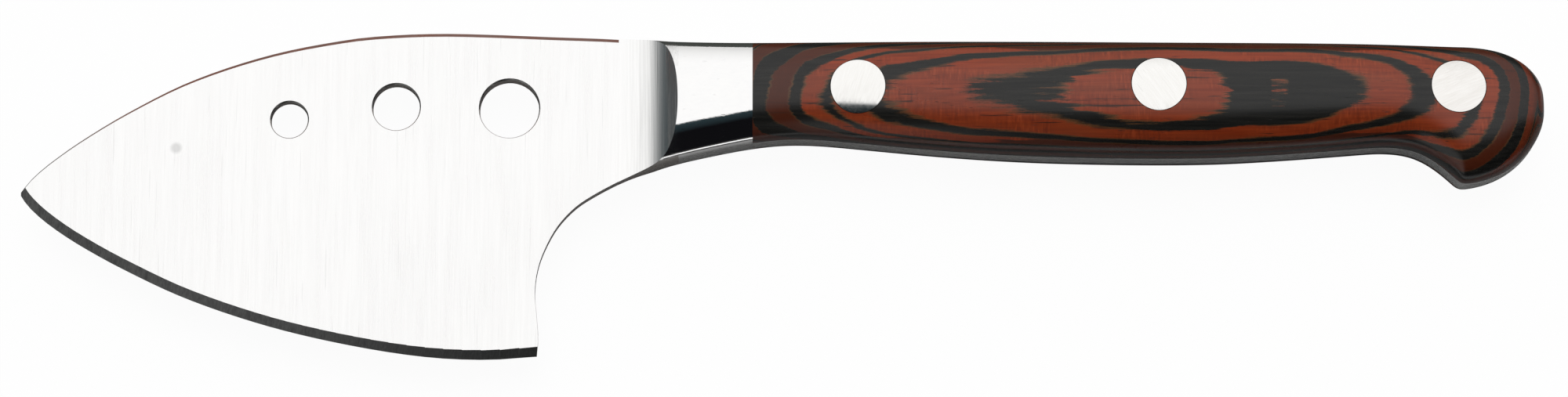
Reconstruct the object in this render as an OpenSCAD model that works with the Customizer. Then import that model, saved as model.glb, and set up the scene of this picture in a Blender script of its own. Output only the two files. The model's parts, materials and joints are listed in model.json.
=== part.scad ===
// Hard-cheese knife with a full tang: one forged blank, two riveted handle scales and three cutler's rivets.
// The knife lies on its right side. +X runs from tip to butt, +Y from edge to spine,
// and +Z up out of the left side.
// The origin is on the table, below the middle of the knife's length and height.

/* [Blade] */
// Tip to the front edge of the bolster
blade_length = 95; // [85:1:110]
// Height of the spine's highest point above the tip
spine_rise = 24; // [20:0.2:27]
// Depth of the cutting edge's lowest point below the tip
belly_depth = 24.6; // [21:0.2:28]
// Room for the knuckles, from the heel corner to the front edge of the bolster
knuckle_room = 19.6; // [18:0.2:25]
// Thickness at the spine, in front of the bolster
spine_thickness = 2.8; // [2:0.1:3.4]
// Thickness behind the cutting edge at the heel
heel_thickness = 0.9; // [0.6:0.1:1.4]
// Thickness behind the cutting edge at the tip
tip_thickness = 0.8; // [0.6:0.1:1.2]
// Height of the small flat that blunts the tip
tip_flat = 0.5; // [0.1:0.1:0.8]
// Width of each ground bevel
bevel_width = 1.4; // [1:0.1:2]
// Width of the chamfer that eases the spine
spine_chamfer = 0.6; // [0.1:0.05:0.7]

/* [Blade holes] */
// Diameter of the hole nearest the tip
small_hole_d = 5.4; // [4:0.1:7]
// Diameter of the middle hole
middle_hole_d = 6.9; // [5:0.1:8.5]
// Diameter of the hole nearest the bolster
large_hole_d = 8.7; // [6:0.1:10]
// Width of the chamfer round each hole
hole_chamfer = 0.15; // [0.05:0.05:0.3]

/* [Bolster] */
// Length of the polished bolster
bolster_length = 11.6; // [9:0.2:15]
// Thickness of the bolster at its front edge
bolster_thickness = 10.8; // [9:0.2:12.6]
// Length of the ground hollow that runs from the blade up to the bolster
hollow_length = 7.8; // [6:0.2:9]

/* [Handle] */
// Back of the bolster to the butt
handle_length = 115.4; // [105:0.2:125]
// Height of the grip in the middle of the bolster
handle_height = 17.2; // [15:0.2:20]
// Greatest thickness of the handle
handle_thickness = 16.4; // [14:0.2:19]
// Thickness of the tang between the scales
tang_thickness = 3.4; // [2.6:0.1:4]
// How square the handle's cross-section is, where 2 is an ellipse
squareness = 2.4; // [2.2:0.1:3.2]
// How far the rounding of the butt reaches along the handle
butt_rounding = 6; // [5:0.5:8]

/* [Rivets] */
// Diameter of a rivet's head
rivet_head_d = 7.9; // [7:0.1:9]
// Outside diameter of the sleeve half's shank
sleeve_d = 5; // [4.4:0.1:5.4]
// Diameter of the pin half's shank
pin_d = 3; // [2.4:0.1:3.4]
// Back of the bolster to the first rivet
first_rivet_reach = 15.3; // [13:0.1:18]
// Distance from one rivet to the next
rivet_pitch = 43.6; // [40:0.2:43.6]
// Wood left between the tang and a rivet's head
seat_wall = 2.2; // [1.6:0.1:2.6]
// Radial clearance round each sleeve in the wood and the tang
shank_clearance = 0.05; // [0.02:0.01:0.1]
// Gap left at the end of each rivet shank when it is pressed home
end_gap = 0.5; // [0.3:0.1:0.8]

/* [Hidden] */

$fn = 64;
overrun = 1;
slope_reach = 1;

// Lines of the knife seen from its side, as shares of a length and a height
spine_line_shares = [
    [0, 0], [0.017, 0.085], [0.041, 0.174], [0.089, 0.318], [0.161, 0.5], [0.257, 0.699], [0.377, 0.864],
    [0.497, 0.962], [0.57, 0.991], [0.645, 1], [0.72, 0.993], [0.81, 0.978], [0.91, 0.962], [1, 0.933]
];
edge_line_shares = [
    [0, 0], [0.014, 0.062], [0.051, 0.166], [0.112, 0.295], [0.203, 0.452], [0.324, 0.628],
    [0.475, 0.789], [0.626, 0.903], [0.778, 0.98], [0.9, 1], [1, 0.98]
];
heel_notch_shares = [
    [0, 0], [0.013, 0.108], [-0.01, 0.243], [-0.032, 0.36], [0, 0.49], [0.087, 0.61],
    [0.243, 0.742], [0.466, 0.853], [0.728, 0.933], [1, 1]
];
grip_top_shares = [
    [0, 0], [0.092, -0.01], [0.307, -0.004], [0.559, -0.014], [0.766, -0.024], [0.903, -0.048]
];
grip_underside_shares = [
    [-0.061, -1.2], [-0.034, -1.112], [0, -1.024], [0.038, -0.958], [0.092, -0.879], [0.137, -0.843],
    [0.182, -0.862], [0.227, -0.894], [0.316, -0.954], [0.406, -0.995], [0.496, -1.013], [0.559, -1.017],
    [0.631, -1.01], [0.721, -0.97], [0.79, -0.93], [0.82, -0.918], [0.856, -0.963], [0.892, -1.151],
    [0.903, -1.237]
];
// The handle's swell from the bolster's thickness to its greatest thickness
swell_shares = [
    [0, 0], [0.092, 0.12], [0.212, 0.43], [0.4, 0.87], [0.559, 1], [0.76, 0.83], [0.9, 0.5], [1, 0.4]
];
hole_place_shares = [[0.41, 0.457], [0.574, 0.535], [0.748, 0.524]];
hole_diameters = [small_hole_d, middle_hole_d, large_hole_d];
butt_start_share = 0.903;
butt_middle_share = -0.575;
rivet_drop_share = 0.448;
butt_top_squareness = 2.35;
butt_underside_squareness = 1.95;

// Counts of the steps that draw the smooth lines, and how far they crowd together at the tip
blade_steps = 40;
tip_crowding = 1.35;
notch_steps = 4;
bolster_steps = 8;
handle_steps = 44;
butt_steps = 12;
side_steps = 16;

overall_length = blade_length + bolster_length + handle_length;
bolster_back = blade_length + bolster_length;
heel_reach = blade_length - knuckle_room;
grip_length = bolster_length + handle_length;
hollow_start = blade_length - hollow_length;
hollow_depth = (bolster_thickness - spine_thickness) / 2;
hollow_r = (pow(hollow_length, 2) + pow(hollow_depth, 2)) / (2 * hollow_depth);
seat_z = tang_thickness / 2 + seat_wall;

function mix(a, b, u) = a + (b - a) * u;

// Height of a smooth line through a table of places and heights
function span(table, x, i = 0) = i > len(table) - 3 || x < table[i + 1][0] ? i : span(table, x, i + 1);
function slope(table, i) =
    let(a = max(i - 1, 0), b = min(i + 1, len(table) - 1))
    (table[b][1] - table[a][1]) / (table[b][0] - table[a][0]);
function line_at(table, x) =
    let(i = span(table, x), run = table[i + 1][0] - table[i][0], u = (x - table[i][0]) / run)
    table[i][1] * (1 + 2 * u) * pow(1 - u, 2) + table[i + 1][1] * u * u * (3 - 2 * u)
    + run * (slope(table, i) * u * pow(1 - u, 2) - slope(table, i + 1) * u * u * (1 - u));

// Smooth curve through points of the plane
function between(a, b, c, d, u) =
    b + (c - a) * u / 2 + (2 * a - 5 * b + 4 * c - d) * u * u / 2 + (3 * b - 3 * c + d - a) * pow(u, 3) / 2;
function curve(points, steps) = [
    for (i = [0 : len(points) - 2], s = [0 : steps - 1])
        let(before = points[max(i - 1, 0)], after = points[min(i + 2, len(points) - 1)])
        between(before, points[i], points[i + 1], after, s / steps),
    points[len(points) - 1]
];

// Quarter of a superellipse, from 1 at u = 0 down to 0 at u = 1
function rounding(u, power) = pow(max(1 - pow(max(u, 0), power), 0), 1 / power);

// Blade seen from the side
function spine_y(x) = mix(tip_flat / 2, spine_rise, line_at(spine_line_shares, x / blade_length));
function edge_y(x) = -mix(tip_flat / 2, belly_depth, line_at(edge_line_shares, min(x / heel_reach, 1)));
heel_y = edge_y(heel_reach);

// The blade's flat sides are one plane each: half thickness at the tip, and its gain along X and Y
side_spine_y = spine_y(hollow_start);
side_heel_gain = (heel_thickness - tip_thickness) / 2;
side_spine_gain = (spine_thickness - tip_thickness) / 2;
side_det = heel_reach * side_spine_y - hollow_start * heel_y;
side_gain_x = (side_heel_gain * side_spine_y - side_spine_gain * heel_y) / side_det;
side_gain_y = (side_spine_gain * heel_reach - side_heel_gain * hollow_start) / side_det;
side_turn = -atan(side_gain_x);
side_tilt = atan(side_gain_y * cos(side_turn));
function side_z(x, y) = tip_thickness / 2 + side_gain_x * x + side_gain_y * y;

// Grip seen from the side, from the hollow to the butt
grip_datum = spine_y(blade_length);
butt_start = blade_length + butt_start_share * grip_length;
butt_turn = 90 / (butt_steps + 1);
function grip_line_y(table, x) =
    grip_datum + handle_height * line_at(table, (x - blade_length) / grip_length);
function butt_y(table, x, power) =
    let(
        middle = grip_datum + butt_middle_share * handle_height,
        u = (x - butt_start) / (overall_length - butt_start)
    )
    mix(middle, grip_line_y(table, butt_start), rounding(u * sin(butt_turn * butt_steps), power));
function grip_top(x) =
    x < blade_length ? spine_y(x)
    : x < butt_start ? grip_line_y(grip_top_shares, x)
    : butt_y(grip_top_shares, x, butt_top_squareness);
function grip_underside(x) =
    x < butt_start ? grip_line_y(grip_underside_shares, x)
    : butt_y(grip_underside_shares, x, butt_underside_squareness);

// Half the grip's thickness, which swells from the bolster to the palm and rounds over at the butt
butt_rim = tang_thickness / 2 + seat_wall / 4;
function grip_half(x) =
    let(
        swell = line_at(swell_shares, max((x - blade_length) / grip_length, 0)),
        u = (x - overall_length + butt_rounding) / butt_rounding
    )
    mix(butt_rim, mix(bolster_thickness, handle_thickness, swell) / 2, rounding(u, squareness));

// Left half of the grip's section from the top to the underside, standing on the tang's face
function grip_arc(x) =
    let(top = grip_top(x), low = grip_underside(x), rise = grip_half(x) - tang_thickness / 2)
    [
        for (j = [0 : side_steps])
            let(c = cos(180 * j / side_steps), s = sin(180 * j / side_steps))
            [
                (top + low) / 2 + (top - low) / 2 * sign(c) * pow(abs(c), 2 / squareness),
                tang_thickness / 2 + rise * pow(max(s, 0), 2 / squareness)
            ]
    ];
function rivet_x(i) = bolster_back + first_rivet_reach + i * rivet_pitch;
function other_side(arc) = [for (j = [len(arc) - 1 : -1 : 0]) [arc[j][0], -arc[j][1]]];
function at_x(x, ring) = [for (p = ring) [x, p[0], p[1]]];
handle_xs = concat(
    [for (i = [0 : handle_steps]) mix(bolster_back, butt_start, i / handle_steps)],
    [
        for (i = [1 : butt_steps])
            mix(butt_start, overall_length, sin(butt_turn * i) / sin(butt_turn * butt_steps))
    ]
);

// Solid through a list of rings that all have the same number of points
module loft(rings) {
    n = len(rings[0]);
    m = len(rings);
    polyhedron(
        points = [for (ring = rings) each ring],
        faces = [
            [for (j = [0 : n - 1]) j],
            for (i = [0 : m - 2], j = [0 : n - 1])
                let(a = i * n + j, b = i * n + (j + 1) % n)
                each [[a, a + n, b], [b, a + n, b + n]],
            [for (j = [n - 1 : -1 : 0]) (m - 1) * n + j]
        ]
    );
}

// Blade section before its sides are ground flat: eased spine, bevelled edge
function blade_ring(x, inset = 0) =
    let(
        top = spine_y(x) - inset,
        low = edge_y(x) - inset,
        edge_slope = (edge_y(x + slope_reach) - edge_y(x)) / slope_reach,
        bevel_run = bevel_width * sqrt(1 + pow(edge_slope, 2)),
        flare = side_z(x, low + bevel_run) / bevel_run,
        thick = side_z(x, top),
        spine_half = min(thick - min(spine_chamfer, thick / 2), flare * (top - low) / 2),
        v = (spine_half + top - low) / (1 + flare)
    )
    [[top, spine_half], [low + v, flare * v], [low, 0], [low + v, -flare * v], [top, -spine_half]];

module blade_bar() {
    difference() {
        loft([
            for (i = [0 : blade_steps])
                let(x = hollow_start * pow(i / blade_steps, tip_crowding)) at_x(x, blade_ring(x)),
            at_x(hollow_start + overrun, blade_ring(hollow_start + overrun, overrun))
        ]);
        heel_notch();
    }
}

// Room behind the heel for the knuckles
module heel_notch() {
    end = [hollow_start, grip_underside(hollow_start)];
    reach = [end[0] - heel_reach, end[1] - heel_y];
    deep = heel_y - 2 * overrun;
    line = [for (p = heel_notch_shares) [heel_reach + p[0] * reach[0], heel_y + p[1] * reach[1]]];
    translate([0, 0, -bolster_thickness])
        linear_extrude(2 * bolster_thickness)
            polygon(concat(
                curve(line, notch_steps),
                [end + [overrun, overrun], end + [2 * overrun, overrun]],
                [[end[0] + 2 * overrun, deep], [heel_reach, deep]]
            ));
}

module bolster_block() {
    loft([
        for (i = [0 : bolster_steps])
            let(x = mix(hollow_start, bolster_back, i / bolster_steps), arc = grip_arc(x))
            at_x(x, concat(arc, other_side(arc)))
    ]);
}

module tang() {
    root_x = bolster_back - overrun;
    translate([0, 0, -tang_thickness / 2])
        linear_extrude(tang_thickness)
            polygon(concat(
                [[root_x, grip_top(bolster_back) - overrun]],
                [for (x = handle_xs) [x, grip_top(x)]],
                [for (i = [len(handle_xs) - 1 : -1 : 0]) [handle_xs[i], grip_underside(handle_xs[i])]],
                [[root_x, grip_underside(bolster_back) + overrun]]
            ));
}

// What is ground off the left side: flat along the blade, hollow in front of the bolster
module side_grind() {
    translate([0, 0, tip_thickness / 2])
        rotate([side_tilt, side_turn, 0])
            rotate([90, 0, 0])
                linear_extrude(2 * (spine_rise + belly_depth), center = true) {
                    translate([-overrun, 0]) square([hollow_start + overrun, 2 * hollow_r]);
                    translate([hollow_start, hollow_r]) circle(hollow_r);
                }
}

module blade_hole(i) {
    x = hole_place_shares[i][0] * blade_length;
    y = hole_place_shares[i][1] * spine_rise;
    d = hole_diameters[i];
    translate([x, y, -bolster_thickness / 2]) cylinder(h = bolster_thickness, d = d);
    for (side = [0, 1])
        mirror([0, 0, side])
            translate([x, y, side_z(x, y) - hole_chamfer])
                cylinder(h = 2 * hole_chamfer, d1 = d, d2 = d + 4 * hole_chamfer);
}

module rivet_axis(i) {
    translate([rivet_x(i), grip_datum - rivet_drop_share * handle_height, 0])
        children();
}

module rivet_hole(i) {
    rivet_axis(i)
        cylinder(h = 2 * handle_thickness, d = sleeve_d + 2 * shank_clearance, center = true);
}

module rivet_seat(i) {
    rivet_axis(i)
        translate([0, 0, seat_z])
            cylinder(h = handle_thickness, d = rivet_head_d);
}

module left_side_of_grip(xs) {
    loft([for (x = xs) at_x(x, grip_arc(x))]);
}

module scale() {
    difference() {
        left_side_of_grip(handle_xs);
        for (i = [0 : 2]) {
            rivet_hole(i);
            rivet_seat(i);
        }
    }
}

// A rivet's head is ground flush with the scale round it
module rivet_head(i) {
    intersection() {
        left_side_of_grip([for (x = handle_xs) if (abs(x - rivet_x(i)) < rivet_head_d) x]);
        rivet_seat(i);
    }
}

module rivet_sleeve(i) {
    difference() {
        union() {
            rivet_head(i);
            rivet_axis(i)
                translate([0, 0, end_gap - seat_z])
                    cylinder(h = 2 * seat_z, d = sleeve_d);
        }
        rivet_axis(i)
            translate([0, 0, -seat_z])
                cylinder(h = 2 * seat_z, d = pin_d);
    }
}

module rivet_pin(i) {
    mirror([0, 0, 1]) {
        rivet_head(i);
        rivet_axis(i)
            translate([0, 0, end_gap - seat_z])
                cylinder(h = 2 * seat_z, d = pin_d);
    }
}

// Stands the knife in its own frame, on its right side
module laid_down() {
    translate([-overall_length / 2, (belly_depth - spine_rise) / 2, handle_thickness / 2])
        children();
}

module blade_blank() {
    color("silver")
        laid_down()
            difference() {
                union() {
                    blade_bar();
                    bolster_block();
                    tang();
                }
                side_grind();
                mirror([0, 0, 1]) side_grind();
                for (i = [0 : 2]) {
                    blade_hole(i);
                    rivet_hole(i);
                }
            }
}

module left_scale() {
    color("sienna") laid_down() scale();
}

module right_scale() {
    color("sienna") laid_down() mirror([0, 0, 1]) scale();
}

module front_rivet_sleeve() {
    color("gainsboro") laid_down() rivet_sleeve(0);
}

module middle_rivet_sleeve() {
    color("gainsboro") laid_down() rivet_sleeve(1);
}

module rear_rivet_sleeve() {
    color("gainsboro") laid_down() rivet_sleeve(2);
}

module front_rivet_pin() {
    color("gainsboro") laid_down() rivet_pin(0);
}

module middle_rivet_pin() {
    color("gainsboro") laid_down() rivet_pin(1);
}

module rear_rivet_pin() {
    color("gainsboro") laid_down() rivet_pin(2);
}

blade_blank();
left_scale();
right_scale();
front_rivet_sleeve();
middle_rivet_sleeve();
rear_rivet_sleeve();
front_rivet_pin();
middle_rivet_pin();
rear_rivet_pin();
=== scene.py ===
# Hard-cheese knife: forged steel blank with a polished bolster, laminated wood scales and three rivets.
# It lies on its right side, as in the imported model: +X to the butt, +Y to the spine, +Z up.
import json
import math

import bmesh
import bpy
import numpy as np
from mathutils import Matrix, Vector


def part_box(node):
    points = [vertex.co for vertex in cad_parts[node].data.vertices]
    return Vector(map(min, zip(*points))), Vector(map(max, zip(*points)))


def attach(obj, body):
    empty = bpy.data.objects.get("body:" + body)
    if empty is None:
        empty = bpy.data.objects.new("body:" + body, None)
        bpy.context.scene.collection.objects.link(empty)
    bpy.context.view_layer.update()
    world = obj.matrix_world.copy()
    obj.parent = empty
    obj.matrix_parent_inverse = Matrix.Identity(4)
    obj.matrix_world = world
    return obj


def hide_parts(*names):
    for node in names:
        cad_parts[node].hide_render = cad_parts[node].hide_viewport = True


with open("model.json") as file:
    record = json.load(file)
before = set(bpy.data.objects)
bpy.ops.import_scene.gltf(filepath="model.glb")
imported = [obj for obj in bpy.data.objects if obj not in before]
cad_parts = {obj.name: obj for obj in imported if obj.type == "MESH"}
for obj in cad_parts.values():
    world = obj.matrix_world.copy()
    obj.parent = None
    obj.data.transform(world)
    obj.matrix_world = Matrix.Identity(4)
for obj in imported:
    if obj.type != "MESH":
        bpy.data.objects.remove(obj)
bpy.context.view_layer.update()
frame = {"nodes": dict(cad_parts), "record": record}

MM = 0.001
MICRON = 1e-6
# How far apart two points, or a point and a plane, still count as touching
HAIR = 1e-7

# Places along the knife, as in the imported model, but for the bolster's front edge: it lies further back,
# where the photograph has it
BLADE_END = -24 * MM
HOLLOW_START = -23.8 * MM
BOLSTER_FRONT = -15.45 * MM
BOLSTER_BACK = -4.4 * MM
BUTT_START = 98.68 * MM
BUTT_END = 111 * MM
# Height of the tang's middle above the table
TANG_MIDDLE = 8.2 * MM
# Heights from there: the tang's face, the seats of the rivet heads, a head that isn't ground flush yet,
# and a place outside the handle
TANG_HALF = 1.7 * MM
SEAT_HEIGHT = 3.9 * MM
HEAD_BLANK = 10 * MM
OUTSIDE = 12 * MM

RIVETS = ["front", "middle", "rear"]
HEAD_RADIUS = 3.95 * MM
SLEEVE_RADIUS = 2.5 * MM
PIN_RADIUS = 1.5 * MM
SHANK_LENGTH = 7.3 * MM
# Room round each head, which shows as a thin dark ring, and round each shank
HEAD_ROOM = 0.10 * MM
SHANK_ROOM = 0.05 * MM
# Degrees that each rivet's polished face is turned about X from the wood's face
RIVET_LEAN = {"front": -4.2, "middle": -1.8, "rear": 0.0}


# Working with pieces

def only(piece):
    """Leaves one piece selected and active."""
    if bpy.context.object and bpy.context.object.mode == "EDIT":
        bpy.ops.object.mode_set(mode="OBJECT")
    bpy.ops.object.select_all(action="DESELECT")
    piece.select_set(True)
    bpy.context.view_layer.objects.active = piece
    return piece


def edit(piece):
    only(piece)
    bpy.ops.object.mode_set(mode="EDIT")
    bpy.ops.mesh.select_all(action="SELECT")


def done():
    bpy.ops.object.mode_set(mode="OBJECT")


def choose(kind, test):
    """In edit mode, selects the vertices, edges or faces whose middle passes the test."""
    bpy.ops.mesh.select_mode(type=kind)
    bpy.ops.mesh.select_all(action="DESELECT")
    mesh = bmesh.from_edit_mesh(bpy.context.object.data)
    if kind == "VERT":
        for v in mesh.verts:
            v.select_set(test(v.co))
    elif kind == "EDGE":
        for e in mesh.edges:
            e.select_set(test((e.verts[0].co + e.verts[1].co) / 2))
    else:
        for f in mesh.faces:
            f.select_set(test(f.calc_center_median()))
    mesh.select_flush_mode()
    bmesh.update_edit_mesh(bpy.context.object.data)


def face_outward():
    """Turns all faces of the piece outward and leaves edit mode."""
    bpy.ops.mesh.select_all(action="SELECT")
    bpy.ops.mesh.normals_make_consistent(inside=False)
    done()


def named(name):
    """Names the active piece and its mesh."""
    piece = bpy.context.object
    piece.name = name
    piece.data.name = name
    return piece


def twin(piece, name):
    """A copy with its own mesh, and nothing of the first piece's finish."""
    copy = bpy.data.objects.new(name, piece.data.copy())
    copy.data.materials.clear()
    bpy.context.scene.collection.objects.link(copy)
    return copy


def keep(piece, point, direction, fill=True):
    """Cuts a piece at a plane and keeps the side that the direction points to."""
    edit(piece)
    bpy.ops.mesh.bisect(plane_co=point, plane_no=direction, use_fill=fill, clear_inner=True, threshold=HAIR)
    done()


def combine(piece, other, operation):
    """Adds, cuts away or keeps what the other piece shares with this one, and uses the other up."""
    only(piece)
    change = piece.modifiers.new("combine", "BOOLEAN")
    change.operation = operation
    change.object = other
    change.solver = "EXACT"
    bpy.ops.object.modifier_apply(modifier="combine")
    bpy.data.objects.remove(other)


def rod(radius, bottom, top, x, y, steps=96):
    bpy.ops.object.select_all(action="DESELECT")
    bpy.ops.mesh.primitive_cylinder_add(
        vertices=steps, radius=radius, depth=top - bottom, location=(x, y, (top + bottom) / 2))
    bpy.ops.object.transform_apply(location=True, rotation=True, scale=True)
    return bpy.context.object


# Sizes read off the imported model

class Measured:
    """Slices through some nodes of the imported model."""

    # An edge with less run than this along X lies in the slice's own plane
    least_run = 1e-9

    def __init__(self, *nodes):
        self.ends = []
        for node in nodes:
            mesh = frame["nodes"][node].data
            points = np.array([v.co for v in mesh.vertices])
            self.ends.append(points[np.array([e.vertices for e in mesh.edges])])
        self.ends = np.concatenate(self.ends)

    def at(self, x):
        """Lowest and highest point of the slice at x."""
        a, b = self.ends[:, 0], self.ends[:, 1]
        run = b[:, 0] - a[:, 0]
        cut = ((a[:, 0] - x) * (b[:, 0] - x) <= 0) & (abs(run) > self.least_run)
        share = ((x - a[cut, 0]) / run[cut])[:, None]
        points = a[cut] + (b[cut] - a[cut]) * share
        return points.min(axis=0), points.max(axis=0)


blank_slices = Measured("blade_blank")
grip_slices = Measured("left_scale", *[f"{r}_rivet_sleeve" for r in RIVETS])


def grip_size(x):
    """Top, underside and half thickness of the grip at x."""
    just_inside = 1e-6
    if x < BOLSTER_BACK:
        low, high = blank_slices.at(x)
        thick = blank_slices.at((BOLSTER_FRONT + BOLSTER_BACK) / 2)[1][2]
    else:
        low, high = grip_slices.at(min(max(x, BOLSTER_BACK + just_inside), BUTT_END - just_inside))
        thick = high[2]
    return float(high[1]), float(low[1]), float(thick) - TANG_MIDDLE


# The forged grip: one smooth body from the hollow to the butt, later cut into bolster, tang and scales

# Places of its sections in mm: in front, where the butt flares, and the even run and rounding after each
FRONT_STATIONS = [-27, -25.4, -23.8, -21.8, -19.8, -17.8, -16, -13, -10, -7.2]
FLARE_STATIONS = [82.4, 84.8, 87.2, 89.6, 92, 94.2, 96.2, 97.8, 98.68]
EVEN_RUN_END = 80
EVEN_RUN_STEPS = 20
BUTT_TURNS = [7, 17, 28, 39, 50, 60, 69, 77, 90]
# How square the sections are, where 2 is an ellipse
SQUARENESS = 2.4


def grip_stations():
    start, butt_start, butt_end = BOLSTER_BACK / MM, BUTT_START / MM, BUTT_END / MM
    even_run = [start + (EVEN_RUN_END - start) * i / EVEN_RUN_STEPS for i in range(EVEN_RUN_STEPS + 1)]
    butt = [butt_start + (butt_end - butt_start) * math.sin(math.radians(turn)) for turn in BUTT_TURNS]
    return [x * MM for x in FRONT_STATIONS + even_run + FLARE_STATIONS + butt]


def upper_section():
    """Left half of a rounded section 2 m wide, standing on a strip as high as half the tang."""
    near, inner = 1e-5, 0.5
    bpy.ops.object.select_all(action="DESELECT")
    bpy.ops.mesh.primitive_plane_add(size=2, rotation=(0, math.pi / 2, 0))
    bpy.ops.object.transform_apply(rotation=True)
    body = named("grip_body")
    edit(body)
    bpy.ops.mesh.bevel(
        offset_type="PERCENT", offset_pct=50, segments=8, profile=2 ** (-2 / SQUARENESS), affect="VERTICES")
    bpy.ops.mesh.select_all(action="SELECT")
    bpy.ops.mesh.remove_doubles(threshold=near)
    bpy.ops.mesh.bisect(plane_co=(0, 0, 0), plane_no=(0, 0, 1), clear_inner=True)
    choose("EDGE", lambda p: abs(p.z) < 10 * near and abs(p.y) < inner)
    bpy.ops.mesh.extrude_region_move(TRANSFORM_OT_translate={"value": (0, 0, -TANG_HALF)})
    bpy.ops.mesh.select_all(action="SELECT")
    bpy.ops.transform.translate(value=(0, 0, TANG_HALF))
    bpy.ops.mesh.select_mode(type="VERT")
    return body


def grip_body():
    """The section is pulled from station to station, mirrored and smoothed."""
    # What smoothing takes off each section is added first
    wider, thicker = 1.001, 1.003
    body = upper_section()
    x, middle, half_height, rise = 0.0, 0.0, 1.0, 1.0
    for i, station in enumerate(grip_stations()):
        top, low, half = grip_size(station)
        new = ((top + low) / 2, (top - low) / 2 * wider, (half - TANG_HALF) * thicker)
        if i:
            bpy.ops.mesh.extrude_region_move()
        bpy.ops.transform.resize(
            value=(1, new[1] / half_height, 1), center_override=(x, middle, 0))
        bpy.ops.transform.translate(value=(station - x, new[0] - middle, 0))
        mesh = bmesh.from_edit_mesh(body.data)
        cap = [v for v in mesh.verts if v.select]
        for v in cap:
            v.select_set(v.co.z > TANG_HALF - HAIR)
        bpy.ops.transform.resize(
            value=(1, 1, new[2] / rise), center_override=(station, new[0], TANG_HALF))
        for v in cap:
            v.select_set(True)
        mesh.select_flush(True)
        x, middle, half_height, rise = station, *new
    choose("FACE", lambda p: p.z < HAIR)
    bpy.ops.mesh.delete(type="FACE")
    face_outward()
    mirror = body.modifiers.new("other side", "MIRROR")
    mirror.use_axis = (False, False, True)
    mirror.merge_threshold = 10 * HAIR
    bpy.ops.object.modifier_apply(modifier="other side")
    smooth = body.modifiers.new("smooth", "SUBSURF")
    smooth.levels = smooth.render_levels = 2
    bpy.ops.object.modifier_apply(modifier="smooth")
    bpy.ops.transform.translate(value=(0, 0, TANG_MIDDLE))
    bpy.ops.object.transform_apply(location=True)
    edit(body)
    bpy.ops.mesh.remove_doubles(threshold=HAIR)
    face_outward()
    return body


def tang_and_bolster(body):
    """The grip's steel: the scales' room is opened on both sides of the tang."""
    touching = 3 * HAIR
    steel = twin(body, "steel_grip")
    keep(steel, (BLADE_END, 0, 0), (1, 0, 0))
    edit(steel)
    bpy.ops.mesh.bisect(plane_co=(BOLSTER_BACK, 0, 0), plane_no=(1, 0, 0), threshold=HAIR)
    for side in (1, -1):
        base = TANG_MIDDLE + side * TANG_HALF
        bpy.ops.mesh.select_all(action="SELECT")
        bpy.ops.mesh.bisect(plane_co=(0, 0, base), plane_no=(0, 0, 1), threshold=HAIR)
    for side in (1, -1):
        base = TANG_MIDDLE + side * TANG_HALF
        choose("FACE", lambda p: p.x > BOLSTER_BACK and side * (p.z - base) > 0)
        bpy.ops.mesh.delete(type="FACE")
        choose("VERT", lambda p: abs(p.x - BOLSTER_BACK) < touching and side * (p.z - base) > -touching)
        bpy.ops.mesh.edge_face_add()
        choose("VERT", lambda p: p.x > BOLSTER_BACK - touching and abs(p.z - base) < touching)
        bpy.ops.mesh.edge_face_add()
    face_outward()
    return steel


# The blade's flat sides, one plane each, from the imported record
FLAT = next(m for m in frame["record"]["mounts"] if m["name"] == "left_blade_face")


def flat_height(x, y):
    """Height of the blade's left flat above the middle of the tang, on the plane that its mount gives."""
    point, normal = FLAT["pos_m"], FLAT["axis"]
    return point[2] - TANG_MIDDLE - ((x - point[0]) * normal[0] + (y - point[1]) * normal[1]) / normal[2]


def grinding_wheel(radius):
    """A wheel that touches the origin from above, and its dressed side, straight on at 45 degrees."""
    wide, dressed = 90 * MM, math.radians(45)
    bpy.ops.object.select_all(action="DESELECT")
    bpy.ops.mesh.primitive_cylinder_add(
        vertices=256, radius=radius, depth=wide, location=(0, 0, radius), rotation=(-math.pi / 2, 0, 0))
    bpy.ops.object.transform_apply(location=True, rotation=True)
    wheel = named("wheel")
    bpy.ops.object.select_all(action="DESELECT")
    bpy.ops.mesh.primitive_cube_add(size=1, location=(0.5, 0, 0.5))
    side = named("side")
    bpy.ops.object.transform_apply(location=True)
    edit(side)
    bpy.ops.transform.resize(value=(2 * radius, wide, radius), center_override=(0, 0, 0))
    done()
    side.rotation_euler = (0, -dressed, 0)
    side.location = (radius * math.sin(dressed), 0, radius * (1 - math.cos(dressed)))
    only(side)
    bpy.ops.object.transform_apply(location=True, rotation=True)
    return wheel, side


def grind_hollows(steel):
    """Cuts the round hollow on both sides, from the blade's flats up to the front edge of the bolster."""
    middle_y, upper_y = 13 * MM, 23 * MM
    length = BOLSTER_FRONT - HOLLOW_START
    foot = flat_height(HOLLOW_START, middle_y)
    depth = grip_size(BOLSTER_FRONT)[2] - flat_height(HOLLOW_START, upper_y)
    radius = (length - depth) / (math.sqrt(2) - 1)
    lean = math.atan2(-FLAT["axis"][1], FLAT["axis"][2])
    for side in (1, -1):
        for tool in grinding_wheel(radius):
            tool.rotation_euler = ((0 if side == 1 else math.pi) + side * lean, 0, 0)
            tool.location = (HOLLOW_START, middle_y, TANG_MIDDLE + side * foot)
            only(tool)
            bpy.ops.object.transform_apply(location=True, rotation=True)
            combine(steel, tool, "DIFFERENCE")


def forged_blade():
    """The blade in front of the hollow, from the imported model's own faces."""
    flat_angle = math.radians(0.15)
    blade = twin(frame["nodes"]["blade_blank"], "blade")
    edit(blade)
    bpy.ops.mesh.remove_doubles(threshold=2 * HAIR)
    bpy.ops.mesh.dissolve_limited(angle_limit=flat_angle)
    done()
    keep(blade, (BLADE_END, 0, 0), (-1, 0, 0))
    return blade


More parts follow.
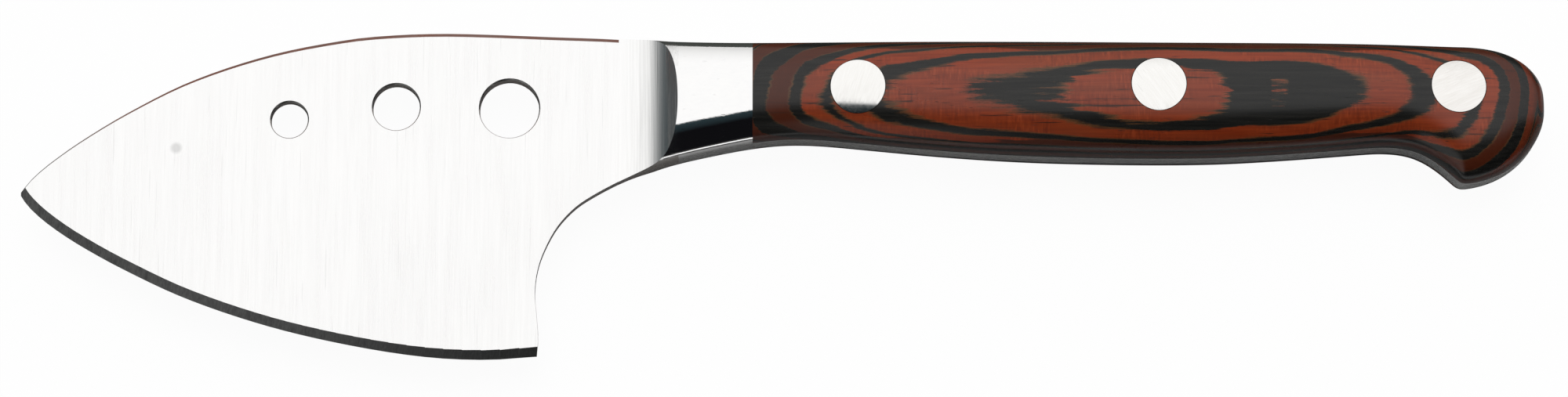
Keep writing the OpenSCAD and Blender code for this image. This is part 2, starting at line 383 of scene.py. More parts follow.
def rivet_place(rivet):
    low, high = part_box(f"{rivet}_rivet_sleeve")
    return (low.x + high.x) / 2, (low.y + high.y) / 2


def drill(piece, rivet):
    """Drills the hole for a rivet's shank right through a piece."""
    bottom, top = -1 * MM, 18 * MM
    combine(piece, rod(SLEEVE_RADIUS + SHANK_ROOM, bottom, top, *rivet_place(rivet)), "DIFFERENCE")


def head_rod(rivet, side, radius, height):
    """A rod on a rivet's axis, from its seat up to a height above the middle of the tang."""
    ends = sorted((TANG_MIDDLE + side * SEAT_HEIGHT, TANG_MIDDLE + side * height))
    return rod(radius, *ends, *rivet_place(rivet))


def handle_scale(body, side, name):
    scale = twin(body, name)
    keep(scale, (BOLSTER_BACK, 0, 0), (1, 0, 0))
    keep(scale, (0, 0, TANG_MIDDLE + side * TANG_HALF), (0, 0, side))
    for rivet in RIVETS:
        combine(scale, head_rod(rivet, side, HEAD_RADIUS + HEAD_ROOM, OUTSIDE), "DIFFERENCE")
        drill(scale, rivet)
    return scale


def rivet_half(body, rivet, side, hollow):
    """Half a rivet: a head ground flush with the scale, and its shank, a tube on the left half."""
    x, y = rivet_place(rivet)
    seat = TANG_MIDDLE + side * SEAT_HEIGHT
    half = head_rod(rivet, side, HEAD_RADIUS, HEAD_BLANK)
    named(f"{rivet}_rivet_{'sleeve' if hollow else 'pin'}_polished")
    edit(half)
    choose("FACE", lambda p: abs(p.z - seat) < HAIR)
    bpy.ops.mesh.inset(thickness=HEAD_RADIUS - (SLEEVE_RADIUS if hollow else PIN_RADIUS))
    bpy.ops.mesh.extrude_region_move(TRANSFORM_OT_translate={"value": (0, 0, -side * SHANK_LENGTH)})
    if hollow:
        bpy.ops.mesh.inset(thickness=SLEEVE_RADIUS - PIN_RADIUS)
        bpy.ops.mesh.extrude_region_move(TRANSFORM_OT_translate={"value": (0, 0, side * SHANK_LENGTH)})
    face_outward()
    polish = twin(body, "polish")
    edit(polish)
    bpy.ops.transform.rotate(
        value=side * math.radians(RIVET_LEAN[rivet]), orient_axis="X", center_override=(x, y, TANG_MIDDLE))
    done()
    combine(half, polish, "INTERSECT")
    return half


body = grip_body()
blank = tang_and_bolster(body)
grind_hollows(blank)
combine(blank, forged_blade(), "UNION")
for rivet in RIVETS:
    drill(blank, rivet)
blank.name = blank.data.name = "forged_blank"
scales = [handle_scale(body, 1, "left_wood_scale"), handle_scale(body, -1, "right_wood_scale")]
rivets = {r: [rivet_half(body, r, 1, True), rivet_half(body, r, -1, False)] for r in RIVETS}
bpy.data.objects.remove(body)


# Making finishes

class Nodes:
    """Puts shader nodes into one material or group, each with its settings, values and links."""

    def __init__(self, tree):
        self.tree = tree

    def add(self, kind, values=None, **settings):
        made = self.tree.nodes.new("ShaderNode" + kind)
        for setting, value in settings.items():
            setattr(made, setting, value)
        for socket, value in (values or {}).items():
            if isinstance(value, bpy.types.NodeSocket):
                self.tree.links.new(value, made.inputs[socket])
            else:
                made.inputs[socket].default_value = value
        return made

    def maths(self, operation, a, b=0.0):
        return self.add("Math", {0: a, 1: b}, operation=operation).outputs[0]

    def product(self, first, *more):
        for factor in more:
            first = self.maths("MULTIPLY", first, factor)
        return first

    def total(self, first, *more):
        for part in more:
            first = self.maths("ADD", first, part)
        return first

    def less(self, first, second):
        return self.maths("SUBTRACT", first, second)

    def span(self, value, low, high, to_low=0.0, to_high=1.0):
        """Takes a value from one range to another, and keeps it in there."""
        ends = {"From Min": low, "From Max": high, "To Min": to_low, "To Max": to_high}
        return self.add("MapRange", {"Value": value, **ends}).outputs[0]

    def mix(self, share, first, second, way="MIX"):
        return self.add("Mix", {0: share, 6: first, 7: second}, data_type="RGBA", blend_type=way).outputs[2]

    def stretched(self, place, stretch):
        return self.add("VectorMath", {0: place, 1: stretch}, operation="MULTIPLY").outputs[0]

    def scaled(self, place, scale):
        return self.add("VectorMath", {0: place, "Scale": scale}, operation="SCALE").outputs[0]

    def noise(self, place, stretch, detail, roughness):
        """Noise with so many spots for each millimetre along X, Y and Z."""
        return self.add("TexNoise", {
            "Vector": self.stretched(place, stretch), "Scale": 1.0,
            "Detail": detail, "Roughness": roughness}).outputs[0]

    def group(self, name, values):
        return self.add("Group", values, node_tree=bpy.data.node_groups[name]).outputs

    def link(self, value, socket):
        self.tree.links.new(value, socket)


def new_group(name, inputs, outputs):
    tree = bpy.data.node_groups.new(name, "ShaderNodeTree")
    for socket, kind in inputs.items():
        tree.interface.new_socket(socket, in_out="INPUT", socket_type="NodeSocket" + kind)
    for socket, kind in outputs.items():
        tree.interface.new_socket(socket, in_out="OUTPUT", socket_type="NodeSocket" + kind)
    return Nodes(tree), tree.nodes.new("NodeGroupInput").outputs, tree.nodes.new("NodeGroupOutput").inputs


def new_finish(name, **same_all_over):
    """A material, its nodes, its shader's sockets, and the place on the piece in millimetres."""
    material = bpy.data.materials.new(name)
    material.use_nodes = True
    nodes = Nodes(material.node_tree)
    shader = material.node_tree.nodes["Principled BSDF"].inputs
    for socket, value in same_all_over.items():
        shader[socket.replace("_", " ")].default_value = value
    place = nodes.scaled(nodes.add("TexCoord").outputs["Object"], 1 / MM)
    return material, nodes, shader, place


def dress(nodes, shader, colour, roughness, height, depth):
    """Colour, roughness and a relief so many micrometres deep."""
    nodes.link(colour, shader["Base Color"])
    nodes.link(roughness, shader["Roughness"])
    relief = nodes.add("Bump", {"Height": height, "Strength": 1.0, "Distance": depth * MICRON})
    nodes.link(relief.outputs[0], shader["Normal"])


# Effects that several finishes share

# Noise for each: spots per line or cloud along X, Y and Z, detail and roughness
FINE_LINES = ((1, 1, 1), 3, 0.6)
BROAD_LINES = ((0.21, 0.6, 0.21), 2, 0.5)
SCRATCHES = ((0.7, 0.8, 0.7), 1, 0.4)
HAZE = ((1, 1, 1), 4, 0.55)


def grind_lines():
    """Fine lines that a belt or buff leaves along Y, or turned from it, and a few deeper scratches."""
    fine_share, broad_share, scratch_range = 0.55, 0.45, (0.70, 0.76)
    nodes, given, out = new_group(
        "grind_lines", {"Place": "Vector", "Turn": "Float", "Per mm": "Float", "Length": "Float"},
        {"Lines": "Float", "Scratches": "Float"})
    turned = nodes.add(
        "VectorRotate", {"Vector": given["Place"], "Angle": given["Turn"]}, rotation_type="Z_AXIS")
    along = nodes.maths("DIVIDE", 1.0, given["Length"])
    stretch = nodes.add("CombineXYZ", {0: given["Per mm"], 1: along, 2: given["Per mm"]})
    spot = nodes.stretched(turned.outputs[0], stretch.outputs[0])
    fine = nodes.product(nodes.noise(spot, *FINE_LINES), fine_share)
    broad = nodes.product(nodes.noise(spot, *BROAD_LINES), broad_share)
    nodes.link(nodes.total(fine, broad), out["Lines"])
    nodes.link(nodes.span(nodes.noise(spot, *SCRATCHES), *scratch_range), out["Scratches"])


def handling_haze():
    """Soft uneven cloud, such as wiping and fingers leave on a polish."""
    haze_range = (0.35, 0.7)
    nodes, given, out = new_group(
        "handling_haze", {"Place": "Vector", "Spots per mm": "Float"}, {"Haze": "Float"})
    cloud = nodes.noise(nodes.scaled(given["Place"], given["Spots per mm"]), *HAZE)
    nodes.link(nodes.span(cloud, *haze_range), out["Haze"])


grind_lines()
handling_haze()


# Steel

def steel(name, bright, dull, smooth, rough, depth, turn, per_mm, length, haze=0.03):
    """Ground or buffed steel: tones and roughness run from the smooth lines to the rough ones."""
    haze_per_mm, scratch_tone, scratch_share, scratch_depth, line_range = 0.09, 0.8, 0.35, 0.3, (0.36, 0.62)
    material, nodes, shader, place = new_finish(name, Metallic=1.0)
    lines, scratches = nodes.group(
        "grind_lines", {"Place": place, "Turn": math.radians(turn), "Per mm": per_mm, "Length": length})
    cloud = nodes.group("handling_haze", {"Place": place, "Spots per mm": haze_per_mm})[0]
    share = nodes.span(lines, *line_range)
    colour = nodes.mix(share, (*dull, 1), (*bright, 1))
    scratched = (*[c * scratch_tone for c in dull], 1)
    colour = nodes.mix(nodes.product(scratches, scratch_share), colour, scratched)
    roughness = nodes.total(nodes.span(share, 0, 1, rough, smooth), nodes.product(cloud, haze))
    height = nodes.less(lines, nodes.product(scratches, scratch_depth))
    dress(nodes, shader, colour, roughness, height, depth)
    return material, nodes, shader, place


def satin_blade():
    """Satin lines across the blade, and the round mark of a hardness test near its tip."""
    mark_place, mark_core, mark_edge, mark_tone = (-88.5, 7.1, 0), 0.5, 1.0, 0.77
    material, nodes, shader, place = steel(
        "satin_blade", bright=(1.0, 0.996, 0.988), dull=(0.984, 0.978, 0.970),
        smooth=0.20, rough=0.27, depth=0.6, turn=0, per_mm=4.5, length=14)
    flat = nodes.stretched(place, (1, 1, 0))
    away = nodes.add("VectorMath", {0: flat, 1: mark_place}, operation="DISTANCE").outputs["Value"]
    tone = nodes.span(away, mark_core, mark_edge, mark_tone, 1.0)
    shade = nodes.add("CombineXYZ", {0: tone, 1: tone, 2: tone}).outputs[0]
    ground = shader["Base Color"].links[0].from_socket
    nodes.link(nodes.mix(1.0, ground, shade, "MULTIPLY"), shader["Base Color"])
    return material


def ground_hollow():
    """The blade's satin runs on into the hollow, where the wheel's lines come in."""
    satin, fade = (0.995, 0.99, 0.982, 1), 3
    material, nodes, shader, place = steel(
        "wheel_ground_hollow", bright=(0.97, 0.965, 0.955), dull=(0.80, 0.80, 0.79),
        smooth=0.07, rough=0.15, depth=14, turn=0, per_mm=4, length=26)
    along = nodes.add("SeparateXYZ", {0: place}).outputs[0]
    deeper = nodes.span(along, HOLLOW_START / MM, HOLLOW_START / MM + fade)
    ground = shader["Base Color"].links[0].from_socket
    nodes.link(nodes.mix(deeper, satin, ground), shader["Base Color"])
    relief = shader["Normal"].links[0].from_node.inputs["Height"]
    nodes.link(nodes.product(relief.links[0].from_socket, deeper), relief)
    return material


def steel_finishes():
    return {
        "flat": satin_blade(),
        # The ground edge's dark tones are painted dark reflection of the dark in front; its lines and
        # roughness are the real grind
        "edge": steel(
            "ground_edge_painted_dark", bright=(0.19, 0.19, 0.185), dull=(0.10, 0.10, 0.10),
            smooth=0.28, rough=0.38, depth=4, turn=12, per_mm=5, length=1.6)[0],
        "wall": steel(
            "sawn_wall", bright=(0.60, 0.56, 0.53), dull=(0.42, 0.39, 0.37),
            smooth=0.24, rough=0.34, depth=3, turn=90, per_mm=4, length=3)[0],
        "hollow": ground_hollow(),
        "bolster": steel(
            "polished_bolster", bright=(0.985, 0.98, 0.97), dull=(0.965, 0.96, 0.955),
            smooth=0.03, rough=0.05, depth=5, turn=90, per_mm=2.5, length=1.2, haze=0.02)[0],
        "tang": steel(
            "buffed_tang", bright=(0.86, 0.86, 0.85), dull=(0.70, 0.70, 0.69),
            smooth=0.20, rough=0.32, depth=3, turn=90, per_mm=4, length=9)[0],
    }


def steel_part(middle, normal):
    """Which finish a face of the blank gets, by its place and the way it looks."""
    on_bolster_back, on_flat = 0.01 * MM, 0.004 * MM
    # Shares of the normal: a ground flat, the tang's rim, a blade's wall, and a wall beside the hollow
    flat_up, rim_across, wall_up = 0.99, 0.97, 0.6
    side_along, side_across, side_up = 0.7, 0.6, 0.35
    along, across, up = (abs(c) for c in normal)
    if middle.x > BOLSTER_BACK - on_bolster_back:
        return "tang"
    if middle.x > BOLSTER_FRONT:
        return "tang" if across > rim_across else "bolster"
    if middle.x > HOLLOW_START:
        return "wall" if up < side_up and along < side_along and across > side_across else "hollow"
    if up < wall_up:
        return "wall"
    off_plane = abs(abs(middle.z - TANG_MIDDLE) - flat_height(middle.x, middle.y))
    if off_plane < on_flat and up > flat_up:
        return "flat"
    return "edge" if normal.y < 0 else "wall"


# Laminated wood: red and dark veneers, which the carved face cuts into waves and tongues

# How deep the crown of the face lies in the stack at each place along the handle, both in mm
CROWN_DEPTH = [
    (-4.4, 7.4), (-3.7, 6.9), (-3.0, 6.4), (-2.4, 6.1), (-0.9, 5.65), (0.2, 5.35), (1.15, 5.06),
    (2.6, 4.36), (4.2, 4.0), (5.7, 3.76), (7.4, 3.41), (9, 3.05), (10.4, 2.7), (12.6, 2.35),
    (14.9, 1.98), (17.1, 1.86), (22.8, 1.42), (26.4, 1.1), (28.4, 1.02), (34.1, 0.85), (39.7, 0.67),
    (45.2, 0.3), (53.7, 0.05), (62, 0.05), (65, 0.22), (67.9, 0.25), (73.5, 0.24), (76.3, 0.35),
    (79.1, 0.6), (82.3, 0.98), (84, 1.08), (88, 1.5),
    (90.9, 1.95), (94.2, 2.4), (96.5, 2.75), (98.7, 3.2), (101, 3.5), (102.7, 4.0), (103.7, 4.25),
    (105.4, 4.95), (107.3, 6.0), (108.3, 7.5), (109.4, 9.2), (111, 10)]
# How far the stack leans across the face, in mm from the middle to the upper edge
CROSS_LEAN = [
    (-4.4, 0.9), (0, 0.85), (3, 0.8), (6.4, 0.75), (10.4, 0.72), (14.9, 0.68), (22.8, 0.5), (33.6, 0.3),
    (53.7, 0.2), (62, 0.3), (74, 0.25), (85, 0.15), (90.9, 0.05), (94.2, -0.05), (96.5, -0.3), (98.7, -0.5),
    (102.7, -0.8), (111, -0.8)]
# Depth at which the topmost red veneer ends at each place along the handle
RED_ISLAND = [
    (-4.4, 0.69), (38, 0.69), (46, 0.6), (54, 0.62), (59.4, 0.43), (62, 0.36), (64.5, 0.26), (67, -0.2),
    (69.4, -0.2), (70.8, 0.18), (73, 0.18), (74.8, -0.3), (111, -0.3)]
# Depth from which the red veneers are painted darker, at each place along the handle: partly darker wood,
# partly painted shade on the lower flank and at the neck
DARKER_AND_SHADED_FROM = [
    (-4.4, 4.93), (7, 4.93), (18, 3.6), (30, 3.25), (38, 2.45), (80, 2.45), (88, 3.25), (97, 4.93),
    (111, 4.93)]
# Depths at which dark and red veneers change below it, dark first, and the depth of the whole stack
VENEERS = [
    1.08, 1.95, 2.5, 3.3, 3.65, 4.25, 4.95, 6.0, 7.5, 9.2, 9.6, 10.2, 10.5, 11.1, 11.4, 12.0, 12.4, 13.2]
STACK_END = 14.0
# Half the width of the soft line between two veneers, in mm of depth
VENEER_BLUR = 0.03
# Steps in which the face is measured along the handle
FACE_STEPS = 77

# Colours of the wood
DEEP_RED = (0.138, 0.017, 0.004, 1)
WARM_RED = (0.238, 0.034, 0.008, 1)
CLOUDED_RED = (0.170, 0.036, 0.012, 1)
# Dark red for the deep veneers: partly darker wood, partly painted shade on the lower flank and at the neck
DARKER_AND_SHADED_RED = (0.042, 0.010, 0.004, 1)
DARK_TICK = (0.085, 0.013, 0.005, 1)
BRIGHT_TICK = (0.36, 0.066, 0.020, 1)
VEIN = (0.014, 0.009, 0.007, 1)
PORE = (0.010, 0.006, 0.005, 1)
BLACK = (0.0055, 0.0056, 0.0052, 1)
WORN_BLACK = (0.0135, 0.0128, 0.0112, 1)
OLIVE_STAIN = (0.060, 0.042, 0.018, 1)
BROWN_STAIN = (0.085, 0.040, 0.016, 1)

# Patterns in the wood: spots per mm along X, Y and Z, then detail and roughness of the noise
PATTERNS = {
    "waves": ((0.05, 0.22, 0.22), 2, 0.5),
    "fingers": ((0.13, 2.2, 2.2), 3, 0.6),
    "nicks": ((1.1, 6, 6), 2, 0.6),
    "long fingers": ((0.085, 1.5, 1.5), 2, 0.5),
    "streaks": ((0.055, 2.6, 2.6), 4, 0.6),
    "clouds": ((0.05, 0.3, 0.3), 3, 0.55),
    "ticks": ((3.2, 0.45, 0.9), 2, 0.5),
    "tick patches": ((0.16, 0.28, 0.28), 2, 0.5),
    "veins": ((0.075, 2.1, 2.1), 2, 0.5),
    "pores": ((0.42, 5.5, 5.5), 2, 0.55),
}
# How far some of them move the veneers up or down, in mm of depth
SWAY = {"waves": 0.22, "fingers": 0.17, "nicks": 0.07, "long fingers": 0.30}
# What lies over the deep red: its pattern, the noise where it starts and is full, its share there, its colour
RED_LAYERS = [
    ("streaks", 0.3, 0.7, 1.0, WARM_RED),
    ("clouds", 0.40, 0.68, 0.45, CLOUDED_RED),
    ("ticks", 0.50, 0.72, 0.55, DARK_TICK),
    ("ticks", 0.46, 0.30, 0.35, BRIGHT_TICK),
    ("veins", 0.655, 0.70, 0.8, VEIN),
    ("pores", 0.70, 0.745, 0.85, PORE),
]
# The same for the patches that have ticks and for the pores, where they make the wood rough and deep
TICK_PATCH_RANGE = (0.42, 0.6)
PORE_RANGE = (0.70, 0.745)


def follow(nodes, value, table, low, high):
    """A value read off a drawn curve, whose points are (place, value)."""
    start, end = table[0][0], table[-1][0]
    curve = nodes.add("FloatCurve", {"Value": nodes.span(value, start, end)})
    line = curve.mapping.curves[0]
    spots = [((place - start) / (end - start), (amount - low) / (high - low)) for place, amount in table]
    line.points[0].location, line.points[1].location = spots[0], spots[-1]
    for spot in spots[1:-1]:
        line.points.new(*spot)
    for point in line.points:
        point.handle_type = "VECTOR"
    curve.mapping.update()
    return nodes.span(curve.outputs[0], 0, 1, low, high)


def table_value(table, place):
    return float(np.interp(place, [p for p, _ in table], [v for _, v in table]))


def face_tables():
    """Depth in the stack along the middle of the tang, and its lean, from the tables and the grip's sizes."""
    least_half_height = 5.0
    depth, lean = [], []
    start, end = BOLSTER_BACK / MM, BUTT_END / MM
    for i in range(FACE_STEPS + 1):
        x = start + (end - start) * i / FACE_STEPS
        top, low, half = (size / MM for size in grip_size(x * MM))
        slope = table_value(CROSS_LEAN, x) / max((top - low) / 2, least_half_height)
        depth.append((x, table_value(CROWN_DEPTH, x) + half - slope * (top + low) / 2))
        lean.append((x, slope))
    return depth, lean


def veneer_stack():
    """1 in a dark veneer and 0 in a red one, by the depth in the stack."""
    nodes, given, out = new_group("veneer_stack", {"Depth": "Float", "Island": "Float"}, {"Dark": "Float"})
    table, dark = [(0.0, 1.0)], 1.0
    for depth in VENEERS:
        table += [(depth - VENEER_BLUR, dark), (depth + VENEER_BLUR, 1 - dark)]
        dark = 1 - dark
    table.append((STACK_END, dark))
    below = follow(nodes, given["Depth"], table, 0.0, 1.0)
    past_island = nodes.span(nodes.less(given["Depth"], given["Island"]), -VENEER_BLUR, VENEER_BLUR)
    nodes.link(nodes.product(below, past_island), out["Dark"])


def sway(nodes, noise, pattern):
    return nodes.span(noise[pattern], 0, 1, -SWAY[pattern], SWAY[pattern])


def stack_depth(nodes, noise, place, shift):
    """Place along the handle and depth in the stack, which waves, fingers and nicks make uneven."""
    most_depth, most_lean = 20.0, 0.3
    x, y, z = nodes.add("SeparateXYZ", {0: place}).outputs
    depth_table, lean_table = face_tables()
    from_middle = nodes.maths("ABSOLUTE", nodes.less(z, TANG_MIDDLE / MM))
    depth = nodes.less(follow(nodes, x, depth_table, 0.0, most_depth), from_middle)
    lean = nodes.product(follow(nodes, x, lean_table, -most_lean, most_lean), y)
    uneven = [sway(nodes, noise, pattern) for pattern in ("waves", "fingers", "nicks")]
    return x, nodes.total(depth, lean, shift, *uneven)


def veneers_at(nodes, noise, x, depth):
    """How dark the veneer is, and where a line of glue shows between two."""
    glue_half, island_range = 0.05, (-0.5, 1.0)
    island = nodes.total(follow(nodes, x, RED_ISLAND, *island_range), sway(nodes, noise, "long fingers"))
    here, above, below = (
        nodes.group("veneer_stack", {"Depth": spot, "Island": island})[0]
        for spot in (depth, nodes.total(depth, glue_half), nodes.less(depth, glue_half)))
    return here, nodes.maths("ABSOLUTE", nodes.less(above, below))


def darker_and_shaded_reds(nodes, x, depth):
    """How much darker the deep red veneers are painted, partly as darker wood and partly as painted shade on
    the lower flank and neck, and less so between two depths at the butt.
    """
    most_depth, soft_start = 10.0, (-0.03, 0.05)
    butt_places, upper_depths, lower_depths = (102.5, 105), (6.0, 6.9), (9.2, 8.3)
    share, butt_share = 0.9, 0.58
    darker = nodes.span(nodes.less(depth, follow(nodes, x, DARKER_AND_SHADED_FROM, 0.0, most_depth)), *soft_start)
    butt_reds = nodes.product(
        nodes.span(x, *butt_places), nodes.span(depth, *upper_depths), nodes.span(depth, *lower_depths))
    return nodes.product(darker, nodes.span(butt_reds, 0, 1, share, butt_share))


def red_wood(nodes, noise):
    """Streaky red wood with soft clouds, ticks across the grain, dark veins and open pores."""
    ticks_here = nodes.span(noise["tick patches"], *TICK_PATCH_RANGE)
    colour = DEEP_RED
    for pattern, first, full, most, layer in RED_LAYERS:
        share = nodes.span(noise[pattern], first, full, 0.0, most)
        if pattern == "ticks":
            share = nodes.product(share, ticks_here)
        colour = nodes.mix(share, colour, layer)
    return colour


def laminated_wood():
    """Colour, roughness and relief of the layered handle wood, on both of its halves."""
    worn_range, stain_range, glue_range, glue_shares = (0.35, 0.68), (0.45, 0.6), (0.42, 0.62), (0.1, 0.85)
    haze_per_mm, red_roughness, black_roughness = 0.12, 0.27, 0.22
    haze_roughness, pore_roughness = 0.05, 0.2
    streak_relief, pore_relief, glue_relief = 0.25, 0.8, 0.15
    nodes, given, out = new_group(
        "laminated_wood", {"Place": "Vector", "Layer Shift": "Float"},
        {"Colour": "Color", "Roughness": "Float", "Height": "Float"})
    place = given["Place"]
    noise = {name: nodes.noise(place, *pattern) for name, pattern in PATTERNS.items()}
    x, depth = stack_depth(nodes, noise, place, given["Layer Shift"])
    dark, glue_line = veneers_at(nodes, noise, x, depth)

    # The deep red veneers turn dark red: partly darker wood, partly painted shade
    red = nodes.mix(darker_and_shaded_reds(nodes, x, depth), red_wood(nodes, noise), DARKER_AND_SHADED_RED)
    black = nodes.mix(nodes.span(noise["streaks"], *worn_range), BLACK, WORN_BLACK)
    stain = nodes.mix(nodes.span(noise["clouds"], *stain_range), OLIVE_STAIN, BROWN_STAIN)
    stain_share = nodes.product(glue_line, nodes.span(noise["clouds"], *glue_range, *glue_shares))
    colour = nodes.mix(stain_share, nodes.mix(dark, red, black), stain)

    haze = nodes.group("handling_haze", {"Place": place, "Spots per mm": haze_per_mm})[0]
    pores = nodes.span(noise["pores"], *PORE_RANGE)
    roughness = nodes.total(
        nodes.span(dark, 0, 1, red_roughness, black_roughness),
        nodes.product(haze, haze_roughness), nodes.product(pores, pore_roughness))
    height = nodes.less(nodes.product(noise["streaks"], streak_relief), nodes.product(pores, pore_relief))
    height = nodes.less(height, nodes.product(glue_line, glue_relief))
    nodes.link(colour, out["Colour"])
    nodes.link(roughness, out["Roughness"])
    nodes.link(height, out["Height"])


veneer_stack()
laminated_wood()


def handle_wood(name, shift):
    material, nodes, shader, place = new_finish(name, IOR=1.45)
    wood = nodes.group("laminated_wood", {"Place": place, "Layer Shift": shift})
    dress(nodes, shader, wood["Colour"], wood["Roughness"], wood["Height"], depth=6)
    return material


# Dressing the pieces

# Bright and dull tone of each rivet, and the turn of its buffing lines in degrees
RIVET_FINISH = {
    "front": ((0.975, 0.965, 0.940), (0.93, 0.915, 0.885), 20),
    "middle": ((0.975, 0.965, 0.940), (0.93, 0.915, 0.885), -35),
    "rear": ((0.945, 0.925, 0.895), (0.87, 0.845, 0.81), 65),
}
# Edges sharper than this many degrees stay sharp
BLANK_CREASE, CREASE = 12, 25


def dress_blank():
    finishes = steel_finishes()
    for finish in finishes.values():
        blank.data.materials.append(finish)
    order = list(finishes)
    for face in blank.data.polygons:
        face.material_index = order.index(steel_part(face.center, face.normal))


def dress_rivet(half, bright, dull, turn):
    half.data.materials.append(steel(
        f"buffed_{half.name}", bright, dull, smooth=0.09, rough=0.16,
        depth=0.9, turn=turn, per_mm=5, length=4)[0])


dress_blank()
scales[0].data.materials.append(handle_wood("handle_wood_left", 0.0))
scales[1].data.materials.append(handle_wood("handle_wood_right", 0.35))
for rivet, (left_half, right_half) in rivets.items():
    bright, dull, turn = RIVET_FINISH[rivet]
    dress_rivet(left_half, bright, dull, turn)
    dress_rivet(right_half, bright, dull, turn + 90)

dressed = [(blank, ["blade_blank"], "blade_steel")]
dressed += [(scale, [node], "scale_wood") for scale, node in zip(scales, ["left_scale", "right_scale"])]
for pair in rivets.values():
    dressed += [(half, [half.name.replace("_polished", "")], "rivet_metal") for half in pair]
for piece, nodes_replaced, slot_name in dressed:
    only(piece)
    bpy.ops.object.shade_smooth_by_angle(angle=math.radians(BLANK_CREASE if piece is blank else CREASE))
    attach(piece, "root")
    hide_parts(*nodes_replaced)


# Stage: a white table, a bright studio behind and above, and a dark one in front

WHITE = (1, 1, 1, 1)
# The dark in front of the knife, far from its edge and at its edge
DARK, DARK_EDGE = (0.004, 0.004, 0.005, 1), (0.020, 0.034, 0.040, 1)
# Cards on the table: colour, then the left, right, near and far edge and the height, in mm
CARDS = {
    # The grey card is a painted shadow: it stands in for the table's shade beside and under the knife, and
    # only reflections show it
    "grey_card": ((0.26, 0.26, 0.26), -300, 300, -10, 19, 0.03),
    "dark_card": ((0.03, 0.03, 0.03), -300, 300, -19, -10, 0.03),
    "black_card": ((0.02, 0.02, 0.02), -500, 500, -600, -48, 0.03),
    "tip_card": ((0.05, 0.05, 0.05), -3000, -400, -1500, 1500, 0.03),
    "near_tip_card": ((0.05, 0.05, 0.05), -400, -120, -48, 26, 0.06),
    "white_card": ((0.95, 0.95, 0.95), -300, 300, -48, -19, 0.03),
    "far_tip_card": ((0.05, 0.05, 0.05), -400, -150, 26, 1500, 0.03),
    "brown_card": ((0.30, 0.11, 0.075), -150, -19, 26, 120, 0.03),
    "green_card": ((0.045, 0.05, 0.045), -19, 400, 26, 400, 0.03),
}


def table_top():
    """A pale table that the camera sees as nearly pure white, with the knife's shadow left in it."""
    tone, white_share, glow, below = (0.5, 0.5, 0.5, 1), 0.93, 1.03, 0.02 * MM
    bpy.ops.object.select_all(action="DESELECT")
    bpy.ops.mesh.primitive_plane_add(size=6, location=(0, 0, -below))
    floor = named("table_top")
    material, nodes, _, _ = new_finish(
        "white_table", Base_Color=tone, Roughness=0.9, Specular_IOR_Level=0.1)
    path = nodes.add("LightPath")
    mix = nodes.add("MixShader", {
        0: nodes.product(path.outputs["Is Camera Ray"], white_share),
        1: nodes.tree.nodes["Principled BSDF"].outputs[0],
        2: nodes.add("Emission", {"Color": WHITE, "Strength": glow}).outputs[0]})
    nodes.link(mix.outputs[0], nodes.tree.nodes["Material Output"].inputs["Surface"])
    floor.data.materials.append(material)


def only_for_polish(sheet, finish):
    """Puts a sheet on the stage that nothing but reflections shows."""
    sheet.data.materials.append(finish)
    sheet.visible_camera = sheet.visible_diffuse = sheet.visible_shadow = False


def card(name, colour, left, right, near, far, height):
    """A matt card lying on the table."""
    middle = ((left + right) / 2 * MM, (near + far) / 2 * MM, 0)
    bpy.ops.object.select_all(action="DESELECT")
    bpy.ops.mesh.primitive_plane_add(size=1, location=middle)
    sheet = named(name)
    edit(sheet)
    bpy.ops.transform.resize(value=((right - left) * MM, (far - near) * MM, 1), center_override=middle)
    bpy.ops.transform.translate(value=(0, 0, height * MM))
    done()
    bpy.ops.object.transform_apply(location=True)
    paint = new_finish(f"{name}_paint", Base_Color=(*colour, 1), Roughness=0.9, Specular_IOR_Level=0.1)
    only_for_polish(sheet, paint[0])


def flags():
    """A curved black flag before the bolster and handle, and a small one beside the butt."""
    reach, left, right = 0.6, -30 * MM, 0.33
    axis = (12 * MM, TANG_MIDDLE)
    upper_edge, lower_edge, fade_heights = math.radians(9.5), 0.1 * MM, (560, 598)
    butt_place, butt_size = (0.16, -0.07, 0.0805), 0.16
    bpy.ops.object.select_all(action="DESELECT")
    bpy.ops.mesh.primitive_cylinder_add(
        vertices=128, radius=reach, depth=right - left, end_fill_type="NOTHING",
        location=((left + right) / 2, *axis), rotation=(0, math.pi / 2, 0))
    bpy.ops.object.transform_apply(location=True, rotation=True)
    long_flag = named("black_flag")
    keep(long_flag, (0, *axis), (0, -math.cos(upper_edge), -math.sin(upper_edge)), fill=False)
    keep(long_flag, (0, 0, lower_edge), (0, 0, 1), fill=False)
    bpy.ops.object.select_all(action="DESELECT")
    bpy.ops.mesh.primitive_plane_add(size=butt_size, location=butt_place, rotation=(0, math.pi / 2, 0))
    bpy.ops.object.transform_apply(location=True, rotation=True)
    butt_flag = named("butt_flag")
    cloth, nodes, shader, place = new_finish(
        "black_flag_cloth", Base_Color=(0, 0, 0, 1), Roughness=0.9, Specular_IOR_Level=0.05,
        Emission_Strength=1.0)
    height = nodes.add("SeparateXYZ", {0: place}).outputs[2]
    nodes.link(nodes.mix(nodes.span(height, *fade_heights), DARK, DARK_EDGE), shader["Emission Color"])
    only_for_polish(long_flag, cloth)
    only_for_polish(butt_flag, cloth)


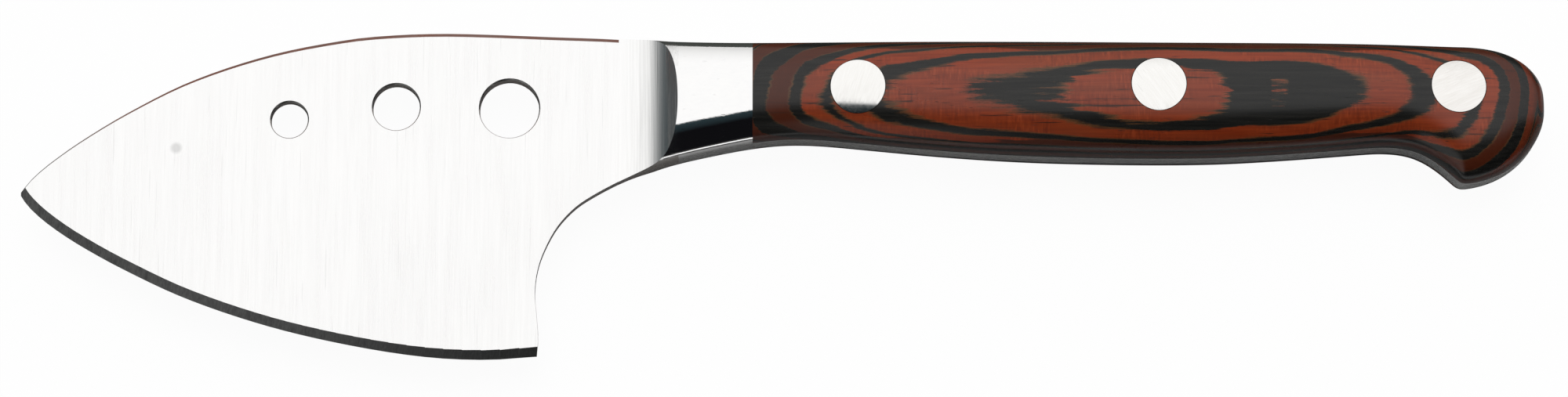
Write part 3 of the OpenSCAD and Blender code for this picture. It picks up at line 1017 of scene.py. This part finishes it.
def studio():
    """White above and behind, dark high in front and past the tip, and light low in front for reflections."""
    front_tilt = math.radians(9)
    low_light, low_sky = (0.80, 0.80, 0.79, 1), (0.74, 0.74, 0.735, 1)
    # Where the tones change, by how far a direction points back, up or to the butt
    soft_edge, past_tip, dark_fade, sky_fade = (-0.012, 0.012), (-0.99, -0.75), (-0.30, -0.01), (0.15, 0.75)
    low_heights, low_fronts = (0.78, 0.62), (-0.05, -0.30)
    world = bpy.data.worlds.new("studio")
    bpy.context.scene.world = world
    world.use_nodes = True
    world.node_tree.nodes.clear()
    nodes = Nodes(world.node_tree)
    towards = nodes.add("TexCoord").outputs["Generated"]
    back = nodes.add(
        "VectorMath", {0: towards, 1: (0, math.cos(front_tilt), math.sin(front_tilt))},
        operation="DOT_PRODUCT").outputs["Value"]
    to_butt, _, height = nodes.add("SeparateXYZ", {0: towards}).outputs
    path = nodes.add("LightPath").outputs
    lit = nodes.product(nodes.span(back, *soft_edge), nodes.span(to_butt, *past_tip))
    low = nodes.product(
        nodes.span(height, *low_heights), nodes.span(back, *low_fronts), path["Is Glossy Ray"])
    dark = nodes.mix(low, nodes.mix(nodes.span(back, *dark_fade), DARK, DARK_EDGE), low_light)
    bright = nodes.mix(nodes.span(height, *sky_fade), low_sky, WHITE)
    seen = nodes.mix(path["Is Camera Ray"], nodes.mix(lit, dark, bright), WHITE)
    sky = nodes.add("Background", {"Color": seen, "Strength": 1.0})
    nodes.add("OutputWorld", {"Surface": sky.outputs[0]}).is_active_output = True


def lamp():
    """A soft sun from above and a little behind, which polish doesn't show."""
    bpy.ops.object.select_all(action="DESELECT")
    bpy.ops.object.light_add(type="SUN", rotation=(math.radians(-20), 0, 0))
    light = bpy.context.object
    light.name = "overhead_fill"
    light.data.energy = 1.55
    light.data.angle = math.radians(40)
    light.visible_glossy = False


def camera():
    """The photograph's view: from above and a little in front, at the middle of the knife."""
    tilt, distance = math.radians(12.72), 0.7817
    x, y, z = 0.17 * MM, -0.32 * MM, TANG_MIDDLE
    bpy.ops.object.select_all(action="DESELECT")
    bpy.ops.object.camera_add(
        location=(x, y - distance * math.sin(tilt), z + distance * math.cos(tilt)), rotation=(tilt, 0, 0))
    eye = bpy.context.object
    eye.data.sensor_width = 36
    eye.data.lens = 123.2
    eye.data.clip_start, eye.data.clip_end = 0.05, 20
    bpy.context.scene.camera = eye


table_top()
for name, measures in CARDS.items():
    card(name, *measures)
flags()
studio()
lamp()
camera()
bpy.context.scene.view_settings.view_transform = "Standard"
